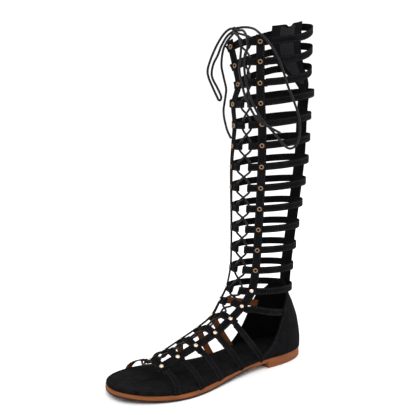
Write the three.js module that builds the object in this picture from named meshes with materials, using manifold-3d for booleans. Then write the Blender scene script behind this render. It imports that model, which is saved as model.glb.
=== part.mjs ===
// A knee-high gladiator sandal for the left foot: a flat outsole with a low heel, a covered footbed,
// an open upper of straps, and a lace that closes it up the front.
//
// Millimetres, +Z up, the toe towards -Y and the outer (lateral) side of the foot towards +X.
// The origin is on the floor, under the middle of the heel.

import * as THREE from 'three';
import { mergeVertices } from 'three/addons/utils/BufferGeometryUtils.js';
import Module from 'manifold-3d';

const wasm = await Module();
wasm.setup();

// ---- Driving dimensions -----------------------------------------------------------------------

const GAP = 0.3; // clearance between pieces that are stitched, glued or riveted together
const SIDES = [1, -1]; // lateral, then medial
const sideName = (side) => (side > 0 ? 'lateral' : 'medial');

const SOLE = { length: 245, heelBack: 32, breast: -32, chamfer: 0.8 };
const HEEL_ROUND = 0.2; // share of the length that the heel's round end takes
const TOE_ROUND = { lateral: 0.3, medial: 0.2 };
const FOOTBED = { inset: 1.2, thick: 3.6 };

const STRAP = { wide: 7.6, thick: 1.6, tab: 12 }; // tab: from a stud to the lace
const STRIP = { wide: 9, inner: 0.4, outer: 2.2, overhang: 7, steps: 2 }; // beside the lace; steps to a row
const BAND = { wide: 16, inner: -0.7, outer: 2.0 }; // the band up the back of the leg
const EYE = { inner: 1.9, outer: 3.3, sides: 6, lap: 0.7, dip: 0.12 }; // the loop folded at each tab's end
const TAB_ROOT = 5; // how far a tab runs back under its strip
const LACE = { radius: 1.1, sides: 4, past: 0.6 }; // past: straight beyond each loop
const BOW = { radius: 1.25, sides: 8, step: 10, knot: 3.4, squash: [1.25, 0.8, 1] };
const STUD = { radius: 2.6, top: 1.9, tall: 1.3, sides: 8, seat: 0.5 }; // seat: clearance over the strip

const ROWS = 19;
const TOP_RING = 4; // rows 1 to 3 hang slack from the yoke, rows 4 to 13 ring the leg
const ANKLE_ROW = 13;
const ANKLE = 86; // height of the ankle row at the front
const PITCH = 21.72; // from one row of the leg to the next
const RISE = { back: [-0.05, 0.17], side: [0.07, 0.06] }; // a row's slopes, at the ankle and at the top
const FACING = { // which way the studs face off the leg's ovals
  lateral: new THREE.Vector3(0.55, -0.83, 0).normalize(),
  medial: new THREE.Vector3(0.1, -1, 0).normalize(),
  foot: (side) => new THREE.Vector3(side * 0.42, -0.42, 0.8).normalize(),
};

// ---- Short tables -----------------------------------------------------------------------------

/** A table of named columns, read smoothly: a cubic through its rows, keyed by the first column. */
function table(names, rows) {
  const key = rows.map((row) => row[0]);
  const slope = (k, i) => {
    const a = Math.max(i - 1, 0);
    const b = Math.min(i + 1, rows.length - 1);
    return (rows[b][k] - rows[a][k]) / (key[b] - key[a]);
  };
  const read = (k, at) => {
    const x = THREE.MathUtils.clamp(at, key[0], key[key.length - 1]);
    const i = Math.min(key.findLastIndex((value) => value <= x), rows.length - 2);
    const span = key[i + 1] - key[i];
    const t = (x - key[i]) / span;
    return (2 * t ** 3 - 3 * t ** 2 + 1) * rows[i][k] + (t ** 3 - 2 * t ** 2 + t) * span * slope(k, i)
      + (3 * t ** 2 - 2 * t ** 3) * rows[i + 1][k] + (t ** 3 - t ** 2) * span * slope(k, i + 1);
  };
  return Object.fromEntries(names.slice(1).map((name, n) => [name, (at) => read(n + 1, at)]));
}

// Half widths of the sole before its ends are rounded, by the share of the length from the heel.
const solePlan = table(['at', 'lateral', 'medial'], [
  [0, 27.4, 27.4],
  [0.2, 27.4, 26.9],
  [0.3, 27.4, 25.5],
  [0.42, 30.6, 22.9],
  [0.5, 34.4, 23.7],
  [0.6, 40, 31],
  [0.68, 43.8, 40.3],
  [0.76, 45.2, 45.5],
  [0.86, 44.5, 45],
  [1, 41, 43],
]);

// The forepart's underside and the sole's top, by the same share.
const soleSide = table(['at', 'bottom', 'top'], [
  [0, 6, 11],
  [0.26, 6.4, 10.8],
  [0.4, 4.8, 9],
  [0.55, 1.4, 7.2],
  [0.64, 0, 6.5],
  [0.78, 0, 6.4],
  [0.9, 1.8, 8],
  [1, 5, 11],
]);

// The leg inside the straps: oval sections by height, with how far round the studs stand.
const leg = table(['z', 'centre', 'half', 'depth', 'lateral', 'medial'], [
  [85, -22, 32, 35.5, 37, -31],
  [107, -18.4, 30.5, 33.9, 39, -30],
  [151, -14, 33, 36.7, 39, -28],
  [217, -9, 38, 42.2, 39, -21],
  [260, -7.4, 38.6, 42.8, 37.5, -12],
  [282, -7.4, 41, 45.6, 36.5, -9],
]);

// The heel inside the counter, by height, and the counter's upper edge by the turn from the back.
const heel = table(['z', 'centre', 'half', 'depth'], [
  [8, -17, 28.2, 49.8],
  [25, -18, 28.6, 50.2],
  [45, -18.5, 27.5, 46.5],
  [54, -19, 27, 43.5],
  [65, -19.5, 26, 39],
  [75, -20, 24, 34.5],
  [90, -21, 21, 31.5],
]);
const counterEdge = table(['turn', 'top'], [
  [0, 88],
  [30, 83],
  [50, 75],
  [71, 65],
  [80, 54],
  [87, 45],
  [96, 32],
  [105, 23.6],
  [122, 14],
]);
const COUNTER = { turn: 122, thick: 1.6, bottom: 11.4, waist: 60, flare: 0.1 }; // waist: follows the sole

// Where the studs stand off the leg's ovals: rows 1 to 3, where the leg is slack, and the foot's rows.
const studPlaces = table(['row', 'lateralX', 'lateralY', 'lateralZ', 'medialX', 'medialY', 'medialZ'], [
  [1, 27, -47.5, 344.7, -20, -45, 339.7],
  [2, 27.3, -47.5, 325, -12, -46, 320.5],
  [3, 27.3, -47.5, 304.2, -6, -46.5, 301],
  [14, 19, -62.5, 71.4, -18, -60, 70],
  [15, 18.3, -77.5, 60.3, -18, -72, 54.5],
  [16, 17.8, -98, 48.8, -18, -92, 44.3],
  [17, 17, -122.4, 39.9, -17.5, -114.5, 36.2],
  [18, 14.8, -143.5, 32, -16, -137, 29],
  [19, 11.8, -161.2, 25.2, -13.5, -156.5, 23.7],
]);
const footStrap = { arch: 2.3, sunk: 1 }; // arch: how square, 2 being an ellipse; sunk: beside the footbed

// Where each foot strap meets the sole's edge.
const soleEnd = table(['row', 'y'], [
  [15, -40],
  [16, -71],
  [17, -106],
  [18, -134],
  [19, -165],
]);

// Row 14 runs back from the strip along the ankle to the counter.
const ankleStrap = table(['along', 'x', 'y', 'z'], [
  [0, 19, -62.5, 71.4],
  [1, 26, -47, 67.4],
  [2, 27.5, -28, 62],
  [3, 22.3, -4, 56.5],
]);

// Rows 1 to 3, in plan from the strip to the yoke, and the share of their rise: the unfilled top of
// the leg has dropped forward, so these straps stand out round its corners.
const slackLateral = table(['along', 'x', 'y', 'rise'], [
  [0, 27, -47.5, 0],
  [1, 39, -30, 0.12],
  [2, 43, -8, 0.3],
  [3, 38.3, 9.5, 0.6],
  [4, 28.6, 19.5, 0.9],
]);
const slackMedial = table(['along', 'x', 'y', 'rise'], [
  [0, -20, -45, 0],
  [1, -34, -30, 0.12],
  [2, -38, -8, 0.4],
  [3, -33, 12, 0.75],
  [4, -24, 22, 0.95],
]);
const SLACK = { rise: 16, end: 8 }; // end: how far from the yoke's middle each strap is stitched

// The yoke that stiffens the top of the back, by height: it leans forward over the leg.
const yoke = table(['z', 'middle', 'half', 'back', 'bow'], [
  [291, 3, 4, 39, 0.5],
  [303, 7, 10, 31, 1.5],
  [320, 3, 19, 20.5, 3],
  [340, 1, 22, 15.5, 4],
  [366, -0.5, 22, 19, 4.5],
]);
const YOKE = { bottom: 291, top: 364.2, tilt: 1.8, thick: 2 }; // tilt: its top rises to the outer side

// ---- Solids -----------------------------------------------------------------------------------

/** A closed solid through sections with equal numbers of points, its faces turned outwards. */
function loft(sections, { closed = false } = {}) {
  const n = sections[0].length;
  const place = sections.flat().flatMap((p) => [p.x, p.y, p.z]);
  const faces = [];
  const spans = closed ? sections.length : sections.length - 1;
  for (let i = 0; i < spans; i += 1) {
    const a = i * n;
    const b = ((i + 1) % sections.length) * n;
    for (let k = 0; k < n; k += 1) {
      const next = (k + 1) % n;
      faces.push(a + k, a + next, b + next, a + k, b + next, b + k);
    }
  }
  if (!closed) {
    const last = (sections.length - 1) * n;
    for (let low = 0, high = n - 1; high - low > 1; low += 1, high -= 1) {
      faces.push(low, high, low + 1, last + low, last + low + 1, last + high);
      if (high - low > 2) {
        faces.push(low + 1, high, high - 1, last + low + 1, last + high - 1, last + high);
      }
    }
  }
  const geometry = new THREE.BufferGeometry();
  geometry.setAttribute('position', new THREE.Float32BufferAttribute(place, 3));
  geometry.setIndex(volume(place, faces) < 0 ? faces.reverse() : faces);
  return geometry;
}

/** Six times the signed volume of a closed mesh. */
function volume(place, faces) {
  const corner = (i) => new THREE.Vector3().fromArray(place, 3 * i);
  let sum = 0;
  for (let f = 0; f < faces.length; f += 3) {
    sum += corner(faces[f]).dot(corner(faces[f + 1]).cross(corner(faces[f + 2])));
  }
  return sum;
}

function toSolid(geometry) {
  const bare = geometry.clone();
  bare.deleteAttribute('normal');
  bare.deleteAttribute('uv');
  const merged = mergeVertices(bare, 1e-4);
  return new wasm.Manifold(new wasm.Mesh({
    numProp: 3,
    vertProperties: Float32Array.from(merged.attributes.position.array),
    triVerts: Uint32Array.from(merged.index.array),
  }));
}

function toGeometry(solid) {
  const mesh = solid.getMesh();
  const geometry = new THREE.BufferGeometry();
  geometry.setAttribute('position', new THREE.Float32BufferAttribute(mesh.vertProperties, 3));
  geometry.setIndex(Array.from(mesh.triVerts));
  return geometry;
}

const join = (geometries) => geometries.map(toSolid).reduce((sum, solid) => sum.add(solid));

/** Evenly spaced numbers from one to another, both included. */
const steps = (count, from, to) => Array.from(
  { length: count + 1 },
  (_, i) => from + (to - from) * (i / count),
);

/** Turns that share a circle equally. */
const turns = (count) => steps(count - 1, 0, 2 * Math.PI * (1 - 1 / count));

/** The frame at each point of a path: its direction, its outward side, and the side across. */
function frames(path) {
  return path.map(({ at, out }, i) => {
    const [before, after] = [path[Math.max(i - 1, 0)], path[Math.min(i + 1, path.length - 1)]];
    const along = after.at.clone().sub(before.at).normalize();
    const across = along.clone().cross(out).normalize();
    return { at, along, across, out: across.clone().cross(along) };
  });
}

/** A flat strip carried along a path, from `inner` to `outer` of it and `wide` across. */
function ribbon(path, wide, inner, outer) {
  const corners = [[-1, inner], [1, inner], [1, outer], [-1, outer]];
  return loft(frames(path).map(({ at, across, out }) => corners.map(
    ([side, height]) => at.clone()
      .addScaledVector(across, side * (wide / 2))
      .addScaledVector(out, height),
  )));
}

/** A round cord through points, `sides` flats round. */
function cord(points, radius, sides) {
  const path = points.map((at) => ({ at, out: new THREE.Vector3(0.3, -1, 0.2) }));
  return loft(frames(path).map(({ at, across, out }) => turns(sides).map(
    (turn) => at.clone()
      .addScaledVector(across, radius * Math.cos(turn))
      .addScaledVector(out, radius * Math.sin(turn)),
  )));
}

/** A curved sheet: `surface(u, v, depth)` from its outer face to `thick` inside it. */
function sheet(countU, countV, thick, surface) {
  return loft(steps(countU, 0, 1).map((u) => [
    ...steps(countV, 0, 1).map((v) => surface(u, v, 0)),
    ...steps(countV, 1, 0).map((v) => surface(u, v, thick)),
  ]));
}

// ---- Sole and footbed -------------------------------------------------------------------------

const soleShare = (y) => (SOLE.heelBack - y) / SOLE.length;
const soleTop = (y) => soleSide.top(soleShare(y));

/** Half width of the sole at a share of its length, drawn in by `inset` all round. */
function soleHalf(side, share, inset = 0) {
  const name = sideName(side);
  const margin = inset / SOLE.length;
  const t = (share - margin) / (1 - 2 * margin);
  const fromHeel = Math.max(0, 1 - t / HEEL_ROUND);
  const fromToe = Math.max(0, 1 - (1 - t) / TOE_ROUND[name]);
  const round = Math.sqrt(Math.max(0, (1 - fromHeel ** 2) * (1 - fromToe ** 2)));
  return (solePlan[name](share) - inset) * round;
}

/** A layer of the sole, `inset` from its edge, between two heights given by share and side. */
function soleLayer(inset, bottom, top, breast = []) {
  const margin = inset / SOLE.length;
  const even = steps(44, 0.02, Math.PI - 0.02).map((turn) => (1 - Math.cos(turn)) / 2);
  const shares = [...even.map((t) => margin + (1 - 2 * margin) * t), ...breast].sort((a, b) => a - b);
  return loft(shares.map((share) => {
    const y = SOLE.heelBack - share * SOLE.length;
    const wide = (side, cut) => side * Math.max(soleHalf(side, share, inset) - cut, 0.4);
    const edge = (side, cut, z) => new THREE.Vector3(wide(side, cut), y, z);
    const [low, high] = [bottom(share), top(share)];
    const bevel = low + SOLE.chamfer;
    return [
      edge(-1, SOLE.chamfer, low), edge(1, SOLE.chamfer, low), edge(1, 0, bevel),
      edge(1, 0, high), edge(-1, 0, high), edge(-1, 0, bevel),
    ];
  }));
}

const breastShare = soleShare(SOLE.breast);
const outsole = soleLayer(
  0,
  (share) => (share < breastShare ? 0 : Math.max(soleSide.bottom(share), 0)),
  soleSide.top,
  [breastShare - 0.0005, breastShare + 0.0015],
);
const footbed = soleLayer(
  FOOTBED.inset,
  (share) => soleSide.top(share) + GAP,
  (share) => soleSide.top(share) + GAP + FOOTBED.thick,
);

// ---- Rows of the upper ------------------------------------------------------------------------

const rowHeight = (row) => ANKLE + (ANKLE_ROW - row) * PITCH;

/** A point of a leg row at an angle in degrees, 0 in front and positive to the lateral side. */
function ringPoint(row, degrees) {
  const z = rowHeight(row);
  const share = (ANKLE_ROW - row) / (ANKLE_ROW - 1);
  const [back, aside] = [RISE.back, RISE.side].map((ends) => THREE.MathUtils.lerp(...ends, share));
  const [centre, half, depth] = [leg.centre(z), leg.half(z), leg.depth(z)];
  const angle = THREE.MathUtils.degToRad(degrees);
  const x = half * Math.sin(angle);
  const y = centre - depth * Math.cos(angle);
  return {
    at: new THREE.Vector3(x, y, z + aside * x + back * (y - centre + depth)),
    out: new THREE.Vector3(Math.sin(angle) / half, -Math.cos(angle) / depth, 0).normalize(),
  };
}

/** A row of the leg: a strap right round from the lateral tab to the medial one. */
function ringPath(row) {
  const z = rowHeight(row);
  const tab = THREE.MathUtils.radToDeg((STRAP.tab - EYE.inner - EYE.lap) / leg.half(z));
  const round = steps(18, leg.lateral(z) - tab, 360 + leg.medial(z) + tab);
  return round.map((degrees) => ringPoint(row, degrees));
}

/** A stud's place from the table, for the rows off the leg's ovals. */
const studPlace = (row, side) => ['X', 'Y', 'Z'].map((axis) => studPlaces[sideName(side) + axis](row));

/** A foot strap's path on one side, from its stud down to the sole's edge. */
function footPath(row, side, count) {
  const [x, y, z] = studPlace(row, side);
  const footY = soleEnd.y(row);
  const base = soleTop(footY) - footStrap.sunk;
  const reach = soleHalf(side, soleShare(footY)) - FOOTBED.inset + GAP;
  const rise = (z - base) / (1 - (Math.abs(x) / reach) ** footStrap.arch) ** (1 / footStrap.arch);
  const studTurn = Math.asin((Math.abs(x) / reach) ** (footStrap.arch / 2));
  return steps(count, studTurn, Math.PI / 2).map((turn) => {
    const px = reach * Math.max(Math.sin(turn), 0) ** (2 / footStrap.arch);
    const pz = rise * Math.max(Math.cos(turn), 1e-9) ** (2 / footStrap.arch);
    const down = (z - base - pz) / (z - base);
    const slope = [px / reach, pz / rise].map((part) => part ** (footStrap.arch - 1));
    return {
      at: new THREE.Vector3(side * px, THREE.MathUtils.lerp(y, footY, down), base + pz),
      out: new THREE.Vector3((side * slope[0]) / reach, 0, slope[1] / rise).normalize(),
    };
  });
}

/** The stud's place and outward direction in a row, on one side. */
function studFrame(row, side) {
  if (row >= TOP_RING && row <= ANKLE_ROW) {
    return ringPoint(row, leg[sideName(side)](rowHeight(row)));
  }
  const out = row < TOP_RING ? FACING[sideName(side)].clone() : FACING.foot(side);
  return { at: new THREE.Vector3(...studPlace(row, side)), out };
}

const rows = steps(ROWS - 1, 1, ROWS);

/** The strip that runs down one side of the lace, through all the studs. */
function stripPath(side) {
  const studs = rows.map((row) => studFrame(row, side));
  const line = new THREE.CatmullRomCurve3(studs.map(({ at }) => at), false, 'centripetal');
  const facing = new THREE.CatmullRomCurve3(studs.map(({ out }) => out), false, 'centripetal');
  const count = STRIP.steps * (ROWS - 1);
  const path = steps(count, 0, 1).map((t) => ({
    at: line.getPoint(t),
    out: facing.getPoint(t).normalize(),
  }));
  const extend = (end, next) => {
    const step = end.at.clone().sub(next.at).setLength(STRIP.overhang);
    return { at: end.at.clone().add(step), out: end.out };
  };
  return [extend(path[0], path[1]), ...path, extend(path[count], path[count - 1])];
}

/** The lace's eye at the end of a row's tab, with the tab's directions. */
function eyeFrame(row, side) {
  const { at, out } = studFrame(row, side);
  const before = studFrame(Math.max(row - 1, 1), side).at;
  const after = studFrame(Math.min(row + 1, ROWS), side).at;
  const down = after.clone().sub(before).normalize();
  if (row >= TOP_RING && row <= ANKLE_ROW) {
    const z = rowHeight(row);
    const tab = THREE.MathUtils.radToDeg(STRAP.tab / leg.half(z));
    const end = ringPoint(row, leg[sideName(side)](z) - side * tab);
    return { at: end.at.clone().addScaledVector(end.out, STRAP.thick / 2), out: end.out, down };
  }
  const inward = down.clone().cross(out).multiplyScalar(side);
  inward.addScaledVector(out, -EYE.dip).normalize();
  return {
    at: at.clone().addScaledVector(inward, STRAP.tab).addScaledVector(out, STRAP.thick / 2),
    out,
    down,
    inward,
  };
}

/** The folded loop that holds the lace: a short six-sided tube along the strip's direction. */
function eyeLoop(row, side) {
  const { at, out, down } = eyeFrame(row, side);
  const across = down.clone().cross(out).normalize();
  const face = across.clone().cross(down);
  const ring = (radius, reach) => turns(EYE.sides).map((turn) => at.clone()
    .addScaledVector(across, radius * Math.cos(turn))
    .addScaledVector(face, radius * Math.sin(turn))
    .addScaledVector(down, reach));
  const [low, high] = [-STRAP.wide / 2, STRAP.wide / 2];
  const { inner, outer } = EYE;
  return loft([ring(outer, low), ring(outer, high), ring(inner, high), ring(inner, low)], { closed: true });
}

/** The tab from the stud to the eye, for rows that aren't cut from a ring. */
function tabPath(row, side) {
  const { at, out } = studFrame(row, side);
  const eye = eyeFrame(row, side);
  const end = at.clone().addScaledVector(eye.inward, STRAP.tab - EYE.inner - EYE.lap);
  return [{ at: at.clone().addScaledVector(eye.inward, -TAB_ROOT), out }, { at, out }, { at: end, out }];
}

/** A slack row's path, from its stud round the leg to the back of the yoke. */
function slackPath(row, side) {
  const slack = side > 0 ? slackLateral : slackMedial;
  const stud = studFrame(row, side).at;
  const places = steps(4, 0, 4).map((along) => {
    const near = Math.max(1 - along / 2, 0);
    return new THREE.Vector3(
      slack.x(along) + (stud.x - slack.x(0)) * near,
      slack.y(along) + (stud.y - slack.y(0)) * near,
      stud.z + SLACK.rise * slack.rise(along),
    );
  });
  const top = stud.z + SLACK.rise;
  const back = yoke.back(top - STRAP.wide / 2) + 2 * GAP;
  places.push(new THREE.Vector3(yoke.middle(top) + side * SLACK.end, back, top));
  const line = new THREE.CatmullRomCurve3(places, false, 'centripetal');
  return steps(12, 0, 1).map((t) => {
    const ahead = line.getTangent(t);
    const out = new THREE.Vector3(ahead.y, -ahead.x, 0).multiplyScalar(side).normalize();
    return { at: line.getPoint(t), out };
  });
}

/** Row 14's path, from its stud back into the counter. */
function anklePath(side) {
  const { x, y, z } = ankleStrap;
  const place = (along) => new THREE.Vector3(side * x(along), y(along), z(along));
  const shift = studFrame(ANKLE_ROW + 1, side).at.sub(place(0));
  return steps(7, 0, 3).map((along) => ({
    at: place(along).addScaledVector(shift, 1 - along / 3),
    out: new THREE.Vector3(side, Math.min(0.8 * (along - 1), 0), 0.15).normalize(),
  }));
}

const strapOf = (path) => ribbon(path, STRAP.wide, 0, STRAP.thick);

const legRows = rows.filter((row) => row >= TOP_RING && row <= ANKLE_ROW);
const topRows = rows.filter((row) => row < TOP_RING);
const soleRows = rows.filter((row) => row > ANKLE_ROW + 1);

/** The band up the back of the leg, from the ankle row to the yoke. */
function bandPath() {
  const places = [...legRows].reverse().map((row) => ringPoint(row, 180));
  const line = new THREE.CatmullRomCurve3(places.map(({ at }) => at));
  return steps(14, 0, 1).map((t) => ({ at: line.getPoint(t), out: new THREE.Vector3(0, 1, 0) }));
}

// ---- Counter and yoke -------------------------------------------------------------------------

/** The heel counter: a cup round the back of the heel, rising to a point behind the ankle. */
function counterSheet(grow) {
  return sheet(28, 5, COUNTER.thick + 2 * grow, (u, v, depth) => {
    const turn = COUNTER.turn * (2 * u - 1) * (1 + grow / 60);
    const size = Math.abs(turn);
    const low = COUNTER.bottom - grow;
    const z = THREE.MathUtils.lerp(low, counterEdge.top(size) + grow, v);
    const [half, long] = [heel.half(z), heel.depth(z)].map((size) => size + grow - depth);
    const angle = THREE.MathUtils.degToRad(Math.min(size, 90));
    const ahead = THREE.MathUtils.degToRad(Math.max(size - 90, 0));
    const y = heel.centre(z) + long * Math.cos(angle) - heel.depth(z) * Math.sin(ahead);
    const edge = soleHalf(turn, soleShare(y)) - FOOTBED.inset + GAP + COUNTER.thick;
    const waist = edge + COUNTER.flare * (z - low) + grow - depth;
    const side = Math.min(half * Math.sin(angle), size > COUNTER.waist ? waist : Infinity);
    return new THREE.Vector3(Math.sign(turn) * side, y, z);
  });
}

function yokeSheet() {
  return sheet(8, 8, YOKE.thick, (u, v, depth) => {
    const across = 2 * u - 1;
    const z = THREE.MathUtils.lerp(YOKE.bottom, YOKE.top + YOKE.tilt * across, v);
    return new THREE.Vector3(
      yoke.middle(z) + yoke.half(z) * across,
      yoke.back(z) - yoke.bow(z) * across ** 2 - depth,
      z,
    );
  });
}

// ---- Bow --------------------------------------------------------------------------------------

const knotCentre = new THREE.Vector3(-9, -50, 357);

// The lace's free parts, point by point: each loop out of the knot and back, each end to its tip.
const bow = {
  bow_loop_lateral: [
    [-4, -48.5, 359], [6, -47, 359], [19, -49.5, 357], [29, -52.5, 353.5], [36.5, -50.5, 347.5],
    [41.5, -45.5, 339], [45, -40, 327.5], [48.5, -36.5, 315], [50.5, -31.5, 300], [51.5, -23.5, 284],
    [51.5, -17.5, 271], [51, -15, 258], [50, -15.5, 247], [48.5, -19, 240], [46.5, -25, 238],
    [46, -32, 242], [45, -42, 252], [44, -50, 260], [41, -57, 267.5], [38, -61.5, 276], [33, -66, 290],
    [29, -67, 301], [23, -65.5, 316], [21, -63.5, 328], [22, -61, 339], [19, -59.5, 349],
    [9, -55.5, 355.5], [-2, -53, 356],
  ],
  lace_end_lateral: [
    [-6.5, -55.5, 354], [2, -58, 352], [9, -60.5, 347], [14.5, -63, 339], [17, -66, 328],
    [20, -69.5, 316], [26.5, -71, 301], [31, -70.5, 290], [36.5, -67, 277], [41.5, -63.5, 268.5],
    [46.5, -57, 263], [51, -42, 255],
  ],
  bow_loop_medial: [
    [-15, -52, 358], [-18, -57, 354], [-21, -62, 346], [-25, -65.5, 336], [-29, -68, 325],
    [-31, -69.5, 316], [-32, -67.5, 308.5], [-33, -61.5, 298.5], [-32.5, -56, 289], [-31.5, -52, 284],
    [-33, -50, 289], [-35.5, -53, 297.5], [-36.5, -58.5, 307], [-35.5, -60.5, 314], [-31.5, -61, 323],
    [-25, -61, 331], [-17.5, -62, 341], [-13, -57.5, 351],
  ],
  lace_end_medial: [
    [-9, -55, 351.5], [-14, -57.5, 345], [-20.5, -57.5, 336], [-28, -53.5, 321], [-31.5, -47.5, 308],
    [-33, -43, 296.5], [-34, -43, 288], [-34.5, -44, 281], [-33.5, -46, 273.5], [-30.5, -47.5, 265.5],
    [-26, -49, 258.5], [-19, -52.5, 253], [-12, -53.5, 246],
  ],
};

/** A free stretch of lace: a round section carried along its points. */
function freeLace(points) {
  const places = points.map((point) => new THREE.Vector3(...point));
  const line = new THREE.CatmullRomCurve3(places, false, 'centripetal');
  const section = new THREE.Shape().absarc(0, 0, BOW.radius, 0, 2 * Math.PI);
  return new THREE.ExtrudeGeometry(section, {
    extrudePath: line,
    steps: Math.round(line.getLength() / BOW.step),
    curveSegments: BOW.sides,
  });
}

// ---- Lace -------------------------------------------------------------------------------------

/** One of the lace's two strands, down through the eyes of alternate sides. */
function strand(firstSide) {
  return rows.flatMap((row) => {
    const side = firstSide * (row % 2 ? 1 : -1);
    const { at, down } = eyeFrame(row, side);
    const reach = STRAP.wide / 2 + LACE.past;
    const pass = [-reach, reach].map((past) => at.clone().addScaledVector(down, past));
    if (row === ROWS) {
      return pass;
    }
    const four = [row, row + 1].flatMap((each) => SIDES.map((s) => eyeFrame(each, s)));
    const middle = four.reduce((sum, eye) => sum.addScaledVector(eye.at, 0.25), new THREE.Vector3());
    return [...pass, middle];
  });
}

/** The lace where it is threaded, with its crossings joined: two strands and the bar at the toe. */
function lace(radius) {
  const ends = SIDES.map((side) => {
    const { at, down } = eyeFrame(ROWS, side);
    return at.clone().addScaledVector(down, STRAP.wide / 2 + LACE.past);
  });
  const fromKnot = SIDES.map((side) => {
    const points = strand(side);
    const step = points[0].clone().sub(knotCentre).setLength(BOW.knot + 2 * GAP);
    return [knotCentre.clone().add(step), ...points];
  });
  return join([...fromKnot, ends].map((points) => cord(points, radius, LACE.sides)));
}

// ---- Studs ------------------------------------------------------------------------------------

const stripFrames = { 1: frames(stripPath(1)), [-1]: frames(stripPath(-1)) };

/** A tubular rivet's head on the strip, or with `grow` the room it needs. */
function stud(row, side, grow = 0) {
  const { at, out } = stripFrames[side][1 + STRIP.steps * (row - 1)];
  const centre = at.clone().addScaledVector(out, STRIP.outer + STUD.seat + STUD.tall / 2);
  const turn = new THREE.Quaternion().setFromUnitVectors(new THREE.Vector3(0, 1, 0), out);
  const size = [STUD.top + grow, STUD.radius + grow, STUD.tall + 2 * grow];
  return new THREE.CylinderGeometry(...size, STUD.sides)
    .applyQuaternion(turn)
    .translate(...centre.toArray());
}

// ---- Upper ------------------------------------------------------------------------------------

const upperParts = [
  ribbon(bandPath(), BAND.wide, BAND.inner, BAND.outer),
  ...legRows.map((row) => strapOf(ringPath(row))),
  ...SIDES.flatMap((side) => [
    ribbon(stripPath(side), STRIP.wide, STRIP.inner, STRIP.outer),
    strapOf(anklePath(side)),
    ...topRows.map((row) => strapOf(slackPath(row, side))),
    ...soleRows.map((row) => strapOf(footPath(row, side, 7))),
    ...[...topRows, ...rows.filter((row) => row > ANKLE_ROW)].map((row) => strapOf(tabPath(row, side))),
    ...rows.map((row) => eyeLoop(row, side)),
  ]),
];
const upper = toGeometry(join(upperParts)
  .subtract(toSolid(counterSheet(GAP)))
  .subtract(toSolid(yokeSheet()))
  .subtract(lace(LACE.radius + GAP))
  .subtract(join(SIDES.flatMap((side) => rows.map((row) => stud(row, side, GAP)))))
  .subtract(toSolid(soleLayer(-2 * STRAP.thick, () => -1, (share) => soleSide.top(share) + GAP)))
  .subtract(toSolid(soleLayer(
    FOOTBED.inset - GAP,
    soleSide.top,
    (share) => soleSide.top(share) + FOOTBED.thick + 2 * GAP,
  ))));

// ---- The sandal -------------------------------------------------------------------------------

const materials = {
  suede: new THREE.MeshStandardMaterial({ color: '#1b1a1b', roughness: 0.95, metalness: 0 }),
  lining: new THREE.MeshStandardMaterial({ color: '#2a2728', roughness: 0.9, metalness: 0 }),
  rubber: new THREE.MeshStandardMaterial({ color: '#b9875c', roughness: 0.7, metalness: 0 }),
  brass: new THREE.MeshStandardMaterial({ color: '#a98a5c', roughness: 0.35, metalness: 1 }),
  cord: new THREE.MeshStandardMaterial({ color: '#232225', roughness: 0.7, metalness: 0 }),
};

function piece(name, geometry, material) {
  const mesh = new THREE.Mesh(geometry, material);
  mesh.name = name;
  return mesh;
}

const sandal = new THREE.Group();
sandal.add(
  piece('outsole', outsole, materials.rubber),
  piece('footbed', footbed, materials.suede),
  piece('heel_counter', counterSheet(0), materials.suede),
  piece('back_yoke', yokeSheet(), materials.suede),
  piece('upper', upper, materials.suede),
  piece('lace_crossings', toGeometry(lace(LACE.radius)), materials.cord),
);
const knot = new THREE.SphereGeometry(BOW.knot, 10, 7)
  .scale(...BOW.squash)
  .translate(...knotCentre.toArray());
sandal.add(piece('bow_knot', knot, materials.cord));
Object.entries(bow).forEach(([name, points]) => {
  sandal.add(piece(name, freeLace(points), materials.cord));
});
SIDES.forEach((side) => rows.forEach((row) => {
  const name = `stud_${sideName(side)}_${String(row).padStart(2, '0')}`;
  sandal.add(piece(name, stud(row, side), materials.brass));
}));

export default sandal;
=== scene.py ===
import bpy
import numpy as np
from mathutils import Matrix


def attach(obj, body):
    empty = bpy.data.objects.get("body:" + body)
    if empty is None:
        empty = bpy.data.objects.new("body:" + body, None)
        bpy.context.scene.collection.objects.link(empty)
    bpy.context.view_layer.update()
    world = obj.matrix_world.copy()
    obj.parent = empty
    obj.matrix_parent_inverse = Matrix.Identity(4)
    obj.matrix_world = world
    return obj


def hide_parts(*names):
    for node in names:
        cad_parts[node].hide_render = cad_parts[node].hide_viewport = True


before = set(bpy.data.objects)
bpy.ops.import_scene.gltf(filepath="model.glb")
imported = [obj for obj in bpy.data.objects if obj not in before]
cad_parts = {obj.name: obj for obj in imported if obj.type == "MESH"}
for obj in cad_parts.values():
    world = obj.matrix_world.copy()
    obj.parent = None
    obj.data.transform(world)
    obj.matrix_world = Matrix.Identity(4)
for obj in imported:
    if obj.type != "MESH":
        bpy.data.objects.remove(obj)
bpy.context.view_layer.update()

MM = 0.001  # sizes below are millimetres in the shoe's own frame, and metres once they are in a mesh

# ---- Camera -----------------------------------------------------------------------------------
# Low in front of the outer side of the toe, far enough back that the leg stays upright.

AIM = np.array([-14.0, -83.5, 169.0]) * MM
AZIMUTH, ELEVATION, AWAY = np.radians(51.77), np.radians(10.12), 0.93

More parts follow.
